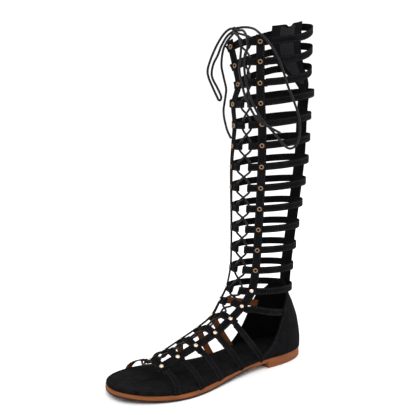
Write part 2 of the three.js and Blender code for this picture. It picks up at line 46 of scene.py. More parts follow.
back = np.array([
    np.sin(AZIMUTH) * np.cos(ELEVATION),
    -np.cos(AZIMUTH) * np.cos(ELEVATION),
    np.sin(ELEVATION),
])
right = np.array([np.cos(AZIMUTH), np.sin(AZIMUTH), 0.0])
camera_data = bpy.data.cameras.new("camera")
camera_data.lens = 77.3
camera_data.sensor_width = 36.0
camera_data.shift_x = 0.002
camera_data.shift_y = 0.0144
camera = bpy.data.objects.new("camera", camera_data)
camera_matrix = np.eye(4)
camera_matrix[:3, 0] = right
camera_matrix[:3, 1] = np.cross(back, right)
camera_matrix[:3, 2] = back
camera_matrix[:3, 3] = AIM + AWAY * back
camera.matrix_world = camera_matrix.T.tolist()
bpy.context.scene.collection.objects.link(camera)
bpy.context.scene.camera = camera

# ---- Free lace: the bow ------------------------------------------------------------------------
# A round waxed cotton cord, braided over a core, 2.5 mm thick. Each loop leaves the knot and comes
# back to it, and each end hangs from the knot to its cut tip.

LACE_WIDE, CORD_STEP = 2.5, 1.2
KNOT = np.array([-9.0, -50.0, 357.0])
BOW = {
    "bow_loop_lateral": [
        (-4, -48.5, 359), (6, -47, 359), (19, -49.5, 357), (29, -52.5, 353.5), (36.5, -50.5, 347.5),
        (41.5, -45.5, 339), (45, -40, 327.5), (48.5, -36.5, 315), (50.5, -31.5, 300), (51.5, -23.5, 284),
        (51.5, -17.5, 271), (51, -15, 258), (50, -15.5, 247), (48.5, -19, 240), (46.5, -25, 238),
        (46, -32, 242), (45, -42, 252), (44, -50, 260), (41, -57, 267.5), (38, -61.5, 276), (33, -66, 290),
        (29, -67, 301), (23, -65.5, 316), (21, -63.5, 328), (22, -61, 339), (19, -59.5, 349),
        (9, -55.5, 355.5), (-2, -53, 356),
    ],
    "lace_end_lateral": [
        (-6.5, -55.5, 354), (2, -58, 352), (9, -60.5, 347), (14.5, -63, 339), (17, -66, 328),
        (20, -69.5, 316), (26.5, -71, 301), (31, -70.5, 290), (36.5, -67, 277), (41.5, -63.5, 268.5),
        (46.5, -57, 263), (51, -42, 255),
    ],
    "bow_loop_medial": [
        (-15, -52, 358), (-18, -57, 354), (-21, -62, 346), (-25, -65.5, 336), (-29, -68, 325),
        (-31, -69.5, 316), (-32, -67.5, 308.5), (-33, -61.5, 298.5), (-32.5, -56, 288.5),
        (-32, -54.4, 285.2), (-32, -52.2, 284.2), (-32.4, -50.3, 286), (-33.3, -50, 289.5),
        (-35.5, -53, 297.5), (-36.5, -58.5, 307), (-35.5, -60.5, 314), (-31.5, -61, 323), (-25, -61, 331),
        (-17.5, -62, 341), (-13, -57.5, 351),
    ],
    "lace_end_medial": [
        (-9, -55, 351.5), (-14, -57.5, 345), (-20.5, -57.5, 336), (-28, -53.5, 321), (-31.5, -47.5, 308),
        (-33, -43, 296.5), (-34, -43, 288), (-34.5, -44, 281), (-33.5, -46, 273.5), (-30.5, -47.5, 265.5),
        (-26, -49, 258.5), (-19, -52.5, 253), (-12, -53.5, 246),
    ],
}


def unit(vectors):
    """Each vector over its own length."""
    return vectors / np.maximum(np.linalg.norm(vectors, axis=-1, keepdims=True), 1e-9)


def spline(points, step):
    """A Catmull-Rom curve through the points, then spaced evenly along its length about `step` apart."""
    p = np.asarray(points, float)
    p = np.vstack([2 * p[0] - p[1], p, 2 * p[-1] - p[-2]])
    t = np.linspace(0, 1, 24, endpoint=False)[:, None]
    spans = [
        0.5 * (2 * b + (c - a) * t + (2 * a - 5 * b + 4 * c - d) * t**2 + (3 * b - a - 3 * c + d) * t**3)
        for a, b, c, d in zip(p, p[1:], p[2:], p[3:])
    ]
    fine = np.vstack([*spans, p[-2:-1]])
    along = np.concatenate([[0], np.cumsum(np.linalg.norm(np.diff(fine, axis=0), axis=1))])
    even = np.linspace(0, along[-1], max(int(round(along[-1] / step)), 3) + 1)
    return np.stack([np.interp(even, along, fine[:, k]) for k in range(fine.shape[1])], 1)


def surface(name, grid, uv, material, second=False):
    """A closed mesh from a grid of points, rows along the piece and columns round it, its ends capped.
    `second` marks the faces of a second material, by row, by column or both."""
    rows, columns = grid.shape[:2]
    index = np.arange(rows * columns).reshape(rows, columns)
    ahead = np.roll(index, -1, axis=1)
    quads = np.stack([index[:-1], ahead[:-1], ahead[1:], index[1:]], -1)
    second = np.broadcast_to(second, quads.shape[:2]).astype(int).ravel()
    quads = quads.reshape(-1, 4)
    corner = grid.reshape(-1, 3)[quads]
    size = np.einsum("ij,ij->", np.cross(corner[:, 0], corner[:, 1]), corner[:, 2])
    size += np.einsum("ij,ij->", np.cross(corner[:, 0], corner[:, 2]), corner[:, 3])
    flip = size < 0
    faces = (quads[:, ::-1] if flip else quads).tolist()
    ends = [index[0, ::-1].tolist(), index[-1].tolist()]
    faces += [end[::-1] for end in ends] if flip else ends
    mesh = bpy.data.meshes.new(name)
    mesh.from_pydata((grid.reshape(-1, 3) * MM).tolist(), [], faces)
    layer = mesh.uv_layers.new(name="along")
    corners = np.empty(len(mesh.loops), int)
    mesh.loops.foreach_get("vertex_index", corners)
    layer.data.foreach_set("uv", (uv.reshape(-1, 2)[corners] * MM).ravel())
    for slot in np.atleast_1d(material):
        mesh.materials.append(slot)
    mesh.polygons.foreach_set("material_index", np.pad(second, (0, len(faces) - len(second))))
    mesh.shade_smooth()
    piece = bpy.data.objects.new(name, mesh)
    bpy.context.scene.collection.objects.link(piece)
    return piece


def joined(name, pieces):
    """One piece out of several, in the order given."""
    bpy.ops.object.select_all(action="DESELECT")
    for piece in pieces:
        piece.select_set(True)
    bpy.context.view_layer.objects.active = pieces[0]
    bpy.ops.object.join()
    pieces[0].name = pieces[0].data.name = name
    return pieces[0]


def settled(piece, slot, *nodes):
    """The piece rides on the sandal and stands for these CAD nodes; its slot is not used."""
    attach(piece, "root")
    if nodes:
        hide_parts(*nodes)
    return piece


def round_cord(name, line, wide, material, sides=14):
    """A tube: circles of `sides` points in planes square to the line, turned as little as they can be.
    The braid's coordinates are the length and the turn, both in millimetres."""
    along = unit(np.gradient(line, axis=0))
    out = np.empty_like(line)
    out[0] = unit(np.cross(along[0], [0.31, 0.22, 0.93]))
    for i in range(1, len(line)):
        out[i] = unit(out[i - 1] - along[i] * (out[i - 1] @ along[i]))
    across = np.cross(along, out)
    turn = np.linspace(0, 2 * np.pi, sides, endpoint=False)
    rim = np.cos(turn)[None, :, None] * out[:, None] + np.sin(turn)[None, :, None] * across[:, None]
    grid = line[:, None] + wide / 2 * rim
    length = np.concatenate([[0], np.cumsum(np.linalg.norm(np.diff(line, axis=0), axis=1))])
    uv = np.stack(np.broadcast_arrays(length[:, None], (turn * wide / 2)[None]), -1)
    return surface(name, grid, uv, material)


def linear(colour):
    """An sRGB hex colour as linear RGBA."""
    srgb = np.array([int(colour[i:i + 2], 16) for i in (1, 3, 5)]) / 255
    rgb = np.where(srgb <= 0.04045, srgb / 12.92, ((srgb + 0.055) / 1.055) ** 2.4)
    return (*rgb.tolist(), 1.0)


def add(tree, kind, settings=(), sockets=()):
    """Adds a node: its settings by name, and a value or another node's output for each socket."""
    node = tree.nodes.new("ShaderNode" + kind)
    for name, value in dict(settings).items():
        setattr(node, name, value)
    for name, value in dict(sockets).items():
        if isinstance(value, bpy.types.NodeSocket):
            tree.links.new(value, node.inputs[name])
        else:
            node.inputs[name].default_value = value
    return node


def new_material(name):
    """An empty node material: its tree and its output."""
    material = bpy.data.materials.new(name)
    material.use_nodes = True
    material.node_tree.nodes.clear()
    return material, material.node_tree, add(material.node_tree, "OutputMaterial")


def colour_between(tree, factor, low, high):
    """A mix of two sRGB colours by a factor."""
    mix = add(tree, "Mix", {"data_type": "RGBA"}, {0: factor, 6: linear(low), 7: linear(high)})
    return mix.outputs[2]


def waxed_braid():
    """Waxed cotton cord: a 16-strand braid, 0.75 mm from strand to strand, with painted sheen: the
    strands' crests are painted dark grey where the wax shines."""
    material, tree, output = new_material("waxed_cotton_braid")
    place = add(tree, "TexCoord").outputs["UV"]
    turned = [
        add(tree, "Mapping", {}, {"Vector": place, "Rotation": (0, 0, angle), "Scale": (1 / MM, 1 / MM, 1)})
        for angle in (0.7, -0.7)
    ]
    strands = [
        add(tree, "TexWave", {"bands_direction": "X", "wave_profile": "SIN"},
            {"Vector": one.outputs[0], "Scale": 0.42, "Distortion": 0.3}).outputs["Fac"]
        for one in turned
    ]
    braid = add(tree, "Math", {"operation": "MAXIMUM"}, {0: strands[0], 1: strands[1]}).outputs[0]
    # Painted sheen: the braid's crests take the lighter grey.
    colour = colour_between(tree, braid, "#040405", "#101012")
    bump = add(tree, "Bump", {}, {"Strength": 0.7, "Distance": 0.25 * MM, "Height": braid})
    shader = add(tree, "BsdfPrincipled", {}, {
        "Base Color": colour, "Roughness": 0.45, "IOR": 1.48, "Specular IOR Level": 0.17,
        "Sheen Weight": 0.02, "Sheen Roughness": 0.4, "Normal": bump.outputs[0],
    })
    tree.links.new(shader.outputs[0], output.inputs["Surface"])
    return material


braided = waxed_braid()

# The knot: the two strands wound round each other, as three turns of a tight coil.
turn = np.linspace(0, 3 * 2 * np.pi, 90)
coil = np.stack([2.8 * np.sin(turn * 0.5 + 0.4), 1.6 * np.cos(turn), 1.8 * np.sin(turn)], 1)
knot = settled(round_cord("bow_knot_cord", KNOT + coil, LACE_WIDE, braided), "black_cord", "bow_knot")

for name, points in BOW.items():
    loop = "loop" in name
    line = spline([KNOT, *points, *([KNOT] if loop else [])], CORD_STEP)
    piece = settled(round_cord(name + "_cord", line, LACE_WIDE, braided), "black_cord", name)

# ---- Studs -------------------------------------------------------------------------------------
# Brass rivets that set each strap to its strip: open tubular ones 5.2 mm across up the leg, with a
# rolled rim round the hole, an antique finish and painted shade in the hole, and domed ones 4.5 mm
# across on the foot, in a paler copy of the brass that is a painted highlight from the light above.

ROWS = 19
SIDES = {"lateral": 1, "medial": -1}
STUD_OVER_LEG = 3.35  # a stud's middle over the leg's surface, through strap and strip
RIVET_SEAT = 0.62  # a rivet's seat under its stud's middle
FIRST_DOMED = 13  # the highest row with domed rivets


def brass(name, dull, bright, smooth, rough):
    """Rolled brass, lacquered: tarnished in spots about a millimetre wide, rougher where it's brighter."""
    material, tree, output = new_material(name)
    place = add(tree, "TexCoord").outputs["Object"]
    tarnish = add(tree, "TexNoise", {}, {"Vector": place, "Scale": 0.9 / MM, "Detail": 3.0}).outputs["Fac"]
    spread = add(tree, "MapRange", {}, {"Value": tarnish, "To Min": smooth, "To Max": rough}).outputs[0]
    shader = add(tree, "BsdfPrincipled", {}, {
        "Base Color": colour_between(tree, tarnish, dull, bright), "Metallic": 1.0, "Roughness": spread})
    tree.links.new(shader.outputs[0], output.inputs["Surface"])
    return material


antique_brass = brass("antique_brass", "#5a4534", "#a98b6c", 0.3, 0.5)
# A paler copy of the same brass for the domed rivets, a painted highlight for the light from above.
painted_lit_brass = brass("painted_lit_brass", "#bfa78c", "#f2e4d2", 0.2, 0.35)
# The open rivets' bore in near-black brass: painted shade in the hollow.
rivet_bore_painted_shade = brass("rivet_bore_painted_shade", "#0f0c09", "#2a2119", 0.6, 0.8)

# Radius and height over the strip, from the seat over the rim: an open rivet, and a domed one.
OPEN_RIVET = np.array([
    (2.35, -0.3), (2.55, 0.0), (2.6, 0.3), (2.52, 0.62), (2.3, 0.9), (2.0, 1.05), (1.65, 1.05), (1.38, 0.9),
    (1.22, 0.6), (1.18, 0.1), (1.15, -0.25), (0.6, -0.3), (0.02, -0.3),
])
DOMED_RIVET = np.array([
    (2.0, -0.3), (2.2, 0.0), (2.25, 0.25), (2.17, 0.6), (1.95, 0.95), (1.6, 1.25), (1.15, 1.42), (0.6, 1.5),
    (0.25, 1.52), (0.02, 1.52),
])
BORE_FROM = 8  # the profile's point where an open rivet turns down into its bore


def stud_seat(name):
    """The middle and outward axis of a CAD stud: the mean of its points and their flattest direction."""
    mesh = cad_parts[name].data
    place = np.empty(3 * len(mesh.vertices))
    mesh.vertices.foreach_get("co", place)
    place = np.unique(place.reshape(-1, 3).round(6), axis=0) / MM
    middle = place.mean(0)
    axis = np.linalg.svd(place - middle)[2][2]
    return middle, axis * np.sign(axis @ [0, -1, 0.6])


studs = {}  # side: the studs' points on the leg's surface, and their outward axes
for side in SIDES:
    seats = [stud_seat(f"stud_{side}_{row:02d}") for row in range(1, ROWS + 1)]
    middles, axes = (np.array(part) for part in zip(*seats))
    studs[side] = (middles - STUD_OVER_LEG * axes, axes)
    for row, (middle, axis) in enumerate(seats, 1):
        domed = row >= FIRST_DOMED
        profile = DOMED_RIVET if domed else OPEN_RIVET
        seat = middle - RIVET_SEAT * axis
        e1 = unit(np.cross(axis, [0.2, 0.1, 1.0]))
        e2 = np.cross(axis, e1)
        turn = np.linspace(0, 2 * np.pi, 28, endpoint=False)
        rim = np.cos(turn)[:, None] * e1 + np.sin(turn)[:, None] * e2
        grid = seat + profile[:, 0, None, None] * rim[None] + profile[:, 1, None, None] * axis
        # The bore's faces take the painted shade.
        bore = (np.arange(len(profile) - 1) >= BORE_FROM) & (not domed)
        rivet = surface(f"rivet_{side}_{row:02d}", grid, np.zeros(grid.shape[:2] + (2,)),
                        [painted_lit_brass if domed else antique_brass, rivet_bore_painted_shade], second=bore[:, None])
        settled(rivet, "brass", f"stud_{side}_{row:02d}")

# ---- Straps ------------------------------------------------------------------------------------
# Cowhide suede split, 7.6 mm wide, lined and folded to 1 mm. A leg row is one strap right round; its
# ends pass under the strips, fold round the lace and come back under themselves to the rivet.

STRAP_WIDE, STRAP_THICK = 7.6, 1.0
STRAP_OVER = 0.6  # the strap's middle over the leg's surface
TAB = 12.0  # from a stud to the lace
EYE = 1.75  # the fold's radius round the lace
EYE_OVER_LEG = 0.8
FOLD_BACK, FOLD_LEAN = 7.0, 0.12  # where the fold starts behind a stud, and its lean into the leg
SEAM_IN_STRAP, SEAM_PROUD = 1.3, 0.04
PITCH, ANKLE = 21.72, 86.0  # from row to row up the leg, and the lowest leg row's height
TOP_RING, ANKLE_ROW, CROSS_STRAP = 4, 13, 14  # rows 4 to 13 go right round, 14 crosses the ankle


def table(rows):
    """Smooth columns over the first one: cubics through the rows, level with each row's neighbours."""
    data = np.array(rows, float)
    key, slope = data[:, 0], np.empty_like(data)
    row = np.arange(len(data))
    before, after = np.maximum(row - 1, 0), np.minimum(row + 1, len(data) - 1)
    slope = (data[after] - data[before]) / (key[after] - key[before])[:, None]

    def read(at):
        at = np.clip(np.asarray(at, float), key[0], key[-1])
        i = np.clip(np.searchsorted(key, at, "right") - 1, 0, len(key) - 2)
        span = (key[i + 1] - key[i])[..., None]
        t = (at - key[i])[..., None] / span
        out = (2 * t**3 - 3 * t**2 + 1) * data[i] + (t**3 - 2 * t**2 + t) * span * slope[i]
        out = out + (3 * t**2 - 2 * t**3) * data[i + 1] + (t**3 - t**2) * span * slope[i + 1]
        return np.moveaxis(out, -1, 0)[1:]

    return read


leg = table([  # height: centre, half width, half depth, the turn of each side's studs
    (85, -22, 32, 35.5, 37, -31),
    (107, -18.4, 30.5, 33.9, 39, -30),
    (151, -14, 33, 36.7, 39, -28),
    (217, -9, 38, 42.2, 39, -21),
    (260, -7.4, 38.6, 42.8, 37.5, -12),
    (282, -7.4, 41, 45.6, 36.5, -9),
])
slack = {  # along: x, y and the share of the rise, for rows 1 to 3
    "lateral": table([(0, 27, -47.5, 0), (1, 39, -30, 0.12), (2, 43, -8, 0.3), (3, 38.3, 9.5, 0.6),
                      (4, 28.6, 19.5, 0.9)]),
    "medial": table([(0, -20, -45, 0), (1, -34, -30, 0.12), (2, -38, -8, 0.4), (3, -33, 12, 0.75),
                     (4, -24, 22, 0.95)]),
}
SLACK_RISE, SLACK_END = 16.0, 8.0
ankle_strap = table([(0, 19, -62.5, 71.4), (1, 26, -47, 67.4), (2, 27.5, -28, 62), (3, 22.3, -4, 56.5)])
sole_end = {15: -40, 16: -71, 17: -106, 18: -134, 19: -165}  # where each row meets the sole's edge
ARCH = 2.3
yoke = table([(291, 3, 4, 39, 0.5), (303, 7, 10, 31, 1.5), (320, 3, 19, 20.5, 3), (340, 1, 22, 15.5, 4),
              (366, -0.5, 22, 19, 4.5)])

SOLE_LONG, HEEL_BACK, BREAST, HEEL_ROUND = 245.0, 32.0, -32.0, 0.2
TOE_ROUND = {"lateral": 0.3, "medial": 0.2}
sole_plan = table([(0, 27.4, 27.4), (0.2, 27.4, 26.9), (0.3, 27.4, 25.5), (0.42, 30.6, 22.9),
                   (0.5, 34.4, 23.7), (0.6, 40, 31), (0.68, 43.8, 40.3), (0.76, 45.2, 45.5),
                   (0.86, 44.5, 45), (1, 41, 43)])
sole_side = table([(0, 6, 11), (0.26, 6.4, 10.8), (0.4, 4.8, 9), (0.55, 1.4, 7.2), (0.64, 0, 6.5),
                   (0.78, 0, 6.4), (0.9, 1.8, 8), (1, 5, 11)])


def share_at(y):
    """The share of the sole's length from the heel."""
    return (HEEL_BACK - np.asarray(y, float)) / SOLE_LONG


def sole_half(side, share, inset=0.0):
    """Half width at a share of the length: the plan's width, rounded off by an ellipse at each end."""
    margin = inset / SOLE_LONG
    t = (np.asarray(share, float) - margin) / (1 - 2 * margin)
    heel_end = np.maximum(0, 1 - t / HEEL_ROUND)
    toe_end = np.maximum(0, 1 - (1 - t) / TOE_ROUND[side])
    ends = np.sqrt(np.maximum(0, (1 - heel_end**2) * (1 - toe_end**2)))
    return (sole_plan(share)[0 if side == "lateral" else 1] - inset) * ends


def row_height(row):
    """A leg row's height at the front."""
    return ANKLE + (ANKLE_ROW - row) * PITCH


def ring_point(row, degrees, over=0.0):
    """Points of a leg row, 0 in front and positive to the lateral side, `over` the leg's oval, and its
    outward directions. The row rises towards the back and to one side, more at the top of the leg."""
    z = row_height(row)
    share = (ANKLE_ROW - row) / (ANKLE_ROW - 1)
    rise_back, rise_side = -0.05 + 0.22 * share, 0.07 - 0.01 * share
    centre, half, depth = leg(z)[:3]
    angle = np.radians(degrees)
    x, y = half * np.sin(angle), centre - depth * np.cos(angle)
    place = np.stack([x, y, z + rise_side * x + rise_back * (y - centre + depth)], -1)
    out = unit(np.stack([np.sin(angle) / half, -np.cos(angle) / depth, 0 * angle], -1))
    return place + np.asarray(over)[..., None] * out, out


# The fold at the lace, as distance from the stud towards the lace and height over the leg: over the
# top of the lace, round it, and back underneath.
round_lace = np.radians(np.linspace(115, -115, 15))
FOLD = spline(np.vstack([
    [(-FOLD_BACK, STRAP_OVER), (-3, 1.05), (1, 1.3), (5, 1.45), (8.5, 1.9)],
    np.stack([TAB + EYE * np.cos(round_lace), EYE_OVER_LEG + EYE * np.sin(round_lace)], 1),
    [(8.5, -0.15), (5, 0.1), (0, 0.15), (-3, 0.1)],
]), 0.5)


def row_frame(row, side):
    """A row's stud: its place on the leg, outward axis, the way down the strip, and in to the lace."""
    points, axes = studs[side]
    i = row - 1
    down = unit(points[min(i + 1, ROWS - 1)] - points[max(i - 1, 0)])
    out = unit(axes[i] - down * (axes[i] @ down))
    return points[i], out, down, np.cross(down, out) * SIDES[side]


def fold_points(row, side):
    """The folded end of a row in space, its outer layer first, and the strap's way across."""
    away, over = FOLD.T
    place, out, down, inward = row_frame(row, side)
    if TOP_RING <= row <= ANKLE_ROW:
        half = leg(row_height(row))[1]
        stud_turn = leg(row_height(row))[3 if side == "lateral" else 4]
        points = ring_point(row, stud_turn - SIDES[side] * np.degrees(away / half), over)[0]
    else:
        inward = unit(inward - FOLD_LEAN * out)
        points = place + away[:, None] * inward + over[:, None] * out
    return points, np.broadcast_to(down, points.shape)


def flat_section(wide, thick, crown=0.12):
    """A strap's section: a rectangle with round corners and a slightly crowned outer face, and which of
    its sides look inwards."""
    radius = 0.42 * thick
    turn = np.radians(np.linspace(0, 90, 4))
    corners = []
    for k, (x, y) in enumerate([(1, 1), (-1, 1), (-1, -1), (1, -1)]):
        a = turn + np.pi / 2 * k
        corners.append(np.stack([x * (wide / 2 - radius) + radius * np.cos(a),
                                 y * (thick / 2 - radius) + radius * np.sin(a)], 1))
    crest = [(0.2 * wide, thick / 2 + crown), (-0.2 * wide, thick / 2 + crown)]
    section = np.vstack([corners[0], crest, *corners[1:]])
    ahead = np.roll(section, -1, 0)
    return section, (section[:, 1] < -0.2 * thick) & (ahead[:, 1] < -0.2 * thick)


def ribbon(name, points, across, wide, thick, material):
    """A flat strap along points: its section stands across the line, its outer face along x across."""
    along = unit(np.gradient(points, axis=0))
    across = unit(across - along * np.sum(across * along, 1, keepdims=True))
    out = np.cross(along, across)
    section, inner = flat_section(wide, thick)
    grid = points[:, None] + section[None, :, :1] * across[:, None] + section[None, :, 1:] * out[:, None]
    length = np.concatenate([[0], np.cumsum(np.linalg.norm(np.diff(points, axis=0), axis=1))])
    uv = np.stack(np.broadcast_arrays(length[:, None], section[None, :, 0]), -1)
    return surface(name, grid, uv, material, second=inner)


def with_fold(main, main_across, row, side):
    """A path that ends at a stud, led on into the row's fold. Both are turned the same way across."""
    points, across = fold_points(row, side)
    if np.sum(main_across[-1] * across[0]) < 0:
        across = -across
    return np.vstack([main, points]), np.vstack([main_across, across])


def suede(name, deep, nap, grain=0.55, sheen=0.03):
    """Suede split: short fibres about half a millimetre long, brushed lighter and darker in patches
    some 9 mm wide. It is almost without gloss, with a soft edge of sheen."""
    material, tree, output = new_material(name)
    place = add(tree, "TexCoord").outputs["Object"]
    fibre = add(tree, "TexNoise", {}, {
        "Vector": place, "Scale": 1 / (grain * MM), "Detail": 4.0, "Roughness": 0.7}).outputs["Fac"]
    patch = add(tree, "TexNoise", {}, {
        "Vector": place, "Scale": 1 / (9 * MM), "Detail": 2.0, "Distortion": 0.8}).outputs["Fac"]
    both = add(tree, "Math", {"operation": "MULTIPLY_ADD"}, {0: fibre, 1: 0.6, 2: patch}).outputs[0]
    factor = add(tree, "MapRange", {}, {"Value": both, "From Min": 0.5, "From Max": 1.15}).outputs[0]
    bump = add(tree, "Bump", {}, {"Strength": 0.5, "Distance": 0.25 * MM, "Height": fibre})
    shader = add(tree, "BsdfPrincipled", {}, {
        "Base Color": colour_between(tree, factor, deep, nap), "Roughness": 0.92,
        "Specular IOR Level": 0.02, "Sheen Weight": sheen, "Sheen Roughness": 0.5,
        "Sheen Tint": linear("#8d8a92"), "Normal": bump.outputs[0],
    })
    tree.links.new(shader.outputs[0], output.inputs["Surface"])
    return material


black_suede = suede("black_suede_split", "#080808", "#151416")
black_lining = suede("black_pigskin_lining", "#080708", "#121112", grain=0.9, sheen=0.01)
tan_lining = suede("tan_pigskin_lining", "#5a2f17", "#7d4828", grain=0.9, sheen=0.01)

seams = []  # every edge that is stitched: its line, the way out of the face, and how far in


def strap(name, points, across, lining):
    """One strap of the upper; its two seams run just inside its edges."""
    along = unit(np.gradient(points, axis=0))
    square = unit(across - along * np.sum(across * along, 1, keepdims=True))
    out = np.cross(along, square)
    for edge in (-1, 1):
        in_from_edge = edge * (STRAP_WIDE / 2 - SEAM_IN_STRAP) * square
        face = points + in_from_edge + (STRAP_THICK / 2 + SEAM_PROUD) * out
        seams.append((face, out))
    return ribbon(name, points, across, STRAP_WIDE, STRAP_THICK, [black_suede, lining])


def side_strap(main, out, row, side, lining):
    """A strap from its far end to its stud, and on into the fold."""
    along = unit(np.gradient(main, axis=0))
    points, across = with_fold(main, np.cross(out, along), row, side)
    return strap(f"strap_{side}_{row}", points, across, lining)


straps = []
for row in range(TOP_RING, ANKLE_ROW + 1):
    lateral, medial = leg(row_height(row))[3:]
    reach = np.degrees(FOLD_BACK / leg(row_height(row))[1])
    main, out = ring_point(row, np.linspace(lateral + reach, 360 + medial - reach, 120), STRAP_OVER)
    first, first_across = fold_points(row, "lateral")
    last, last_across = fold_points(row, "medial")
    points = np.vstack([first[::-1], main[1:-1], last])
    up = np.cross(unit(np.gradient(main, axis=0)), out)[1:-1]
    turn = np.sign(up[0] @ first_across[0])
    across = np.vstack([turn * first_across, up, turn * last_across])
    straps.append(strap(f"strap_{row}", points, -across, black_lining))


def slack_line(row, side):
    """Rows 1 to 3: from the stud out round the leg, rising, to the back of the yoke."""
    stud = studs[side][0][row - 1]
    along = np.arange(5.0)
    x, y, rise = slack[side](along)
    near = np.maximum(1 - along / 2, 0)
    x, y = x + (stud[0] - x[0]) * near, y + (stud[1] - y[0]) * near
    line = np.stack([x, y, stud[2] + SLACK_RISE * rise], 1)
    top = stud[2] + SLACK_RISE
    middle, behind = yoke(top)[0], yoke(top - STRAP_WIDE / 2)[2]
    return spline(np.vstack([line, [middle + SIDES[side] * SLACK_END, behind + STRAP_OVER, top]]), 2.0)


def arch_line(row, side):
    """Rows 15 to 19: a squared ellipse from the stud out and down to the sole's edge."""
    x, y, z = studs[side][0][row - 1]
    foot_y = sole_end[row]
    base = sole_side(share_at(foot_y))[1] + 0.3
    reach = sole_half(side, share_at(foot_y)) - 0.9
    rise = (z - base) / (1 - (abs(x) / reach) ** ARCH) ** (1 / ARCH)
    turn = np.linspace(np.pi / 2, np.arcsin((abs(x) / reach) ** (ARCH / 2)), 40)
    px, pz = reach * np.sin(turn) ** (2 / ARCH), rise * np.maximum(np.cos(turn), 1e-6) ** (2 / ARCH)
    down = (z - base - pz) / (z - base)
    return np.stack([SIDES[side] * px, y + (foot_y - y) * down, base + pz], 1)


for side, sign in SIDES.items():
    for row in (1, 2, 3):
        line = slack_line(row, side)[::-1]
        along = np.gradient(line, axis=0)
        out = unit(np.stack([-along[:, 1], along[:, 0], 0 * along[:, 0]], 1)) * sign
        main = (line + STRAP_OVER * out)[:-3]
        straps.append(side_strap(main, out[:-3], row, side, black_lining))
    # The ankle's strap, from the counter forwards; its last few points give way to the fold.
    share = np.linspace(0, 1, 36)
    x, y, z = ankle_strap(3 - 3 * share)
    line = np.stack([sign * x, y, z], 1)
    line += (studs[side][0][CROSS_STRAP - 1] - line[-1]) * share[:, None]
    out = unit(np.stack([sign + 0 * share, -0.8 * share**2, 0.15 + 0 * share], 1))
    straps.append(side_strap((line + STRAP_OVER * out)[:-7], out[:-7], CROSS_STRAP, side, tan_lining))
    for row in range(CROSS_STRAP + 1, ROWS + 1):
        line = arch_line(row, side)
        along = unit(np.gradient(line, axis=0))
        out = unit(np.cross(along, [0, 1.0, 0]))
        out *= np.sign(out[:, 2:] + 0.001)
        out[:6] = out[6]
        keep = max(int(np.searchsorted(-np.linalg.norm(line - line[-1], axis=1), -FOLD_BACK)), 3)
        straps.append(side_strap((line + STRAP_OVER * out)[:keep], out[:keep], row, side, tan_lining))

settled(joined("straps_of_suede", straps), "black_suede", "upper")

# ---- Strips beside the lace, and the band up the back ------------------------------------------
# Suede strips 9 mm wide down each side of the lace, riveted through every strap, and a wider band
# sewn over the straps up the back of the leg.

STRIP_WIDE, STRIP_OVER, SEAM_IN_STRIP = 9.0, 2.25, 1.2
BAND_WIDE, BAND_OVER, SEAM_IN_BAND = 16.0, 1.7, 1.4
SEAM_OVER = STRAP_THICK / 2 + SEAM_PROUD
strips = []
for side, sign in SIDES.items():
    points, axes = studs[side]
    ends = [points[0] + unit(points[0] - points[1]) * 7, points[-1] + unit(points[-1] - points[-2]) * 7]
    line = spline(np.vstack([ends[0], points, ends[1]]), 1.5)
    share = np.linspace(0, 1, len(line))
    knots = np.array([np.argmin(np.linalg.norm(line - p, axis=1)) for p in points]) / (len(line) - 1)
    out = unit(np.stack([np.interp(share, knots, axes[:, k]) for k in range(3)], 1))
    along = unit(np.gradient(line, axis=0))
    across = np.cross(out, along)
    middle = line + STRIP_OVER * out
    for edge in (-1, 1):
        seams.append((middle + edge * (STRIP_WIDE / 2 - SEAM_IN_STRIP) * across + SEAM_OVER * out, out))
    strips.append(ribbon(f"strip_{side}", middle, across, STRIP_WIDE, STRAP_THICK,
                         [black_suede, black_lining]))
settled(joined("lace_strips", strips), "black_suede", "upper")

rows = np.arange(ANKLE_ROW, TOP_RING - 1, -1)
line = spline(np.array([ring_point(row, np.array(180.0), BAND_OVER)[0] for row in rows]), 2.0)
out = np.broadcast_to([0.0, 1.0, 0.0], line.shape)
across = np.cross(out, unit(np.gradient(line, axis=0)))
for edge in (-1, 1):
    seams.append((line + edge * (BAND_WIDE / 2 - SEAM_IN_BAND) * across + SEAM_OVER * out, out))
settled(ribbon("back_band", line, across, BAND_WIDE, STRAP_THICK, [black_suede, black_lining]),
        "black_suede", "upper")

# ---- Lace --------------------------------------------------------------------------------------
# The waxed cord runs down through the folds, crossing between rows, one strand over the other.


def eye_point(row, side, slide):
    """The lace's place in a row's fold, slid along the strip's direction."""
    place, out, down, inward = row_frame(row, side)
    if TOP_RING <= row <= ANKLE_ROW:
        half = leg(row_height(row))[1]
        stud_turn = leg(row_height(row))[3 if side == "lateral" else 4]
        point = ring_point(row, np.array(stud_turn - SIDES[side] * np.degrees(TAB / half)), EYE_OVER_LEG)[0]
    else:
        point = place + TAB * unit(inward - FOLD_LEAN * out) + EYE_OVER_LEG * out
    return point + slide * down, out


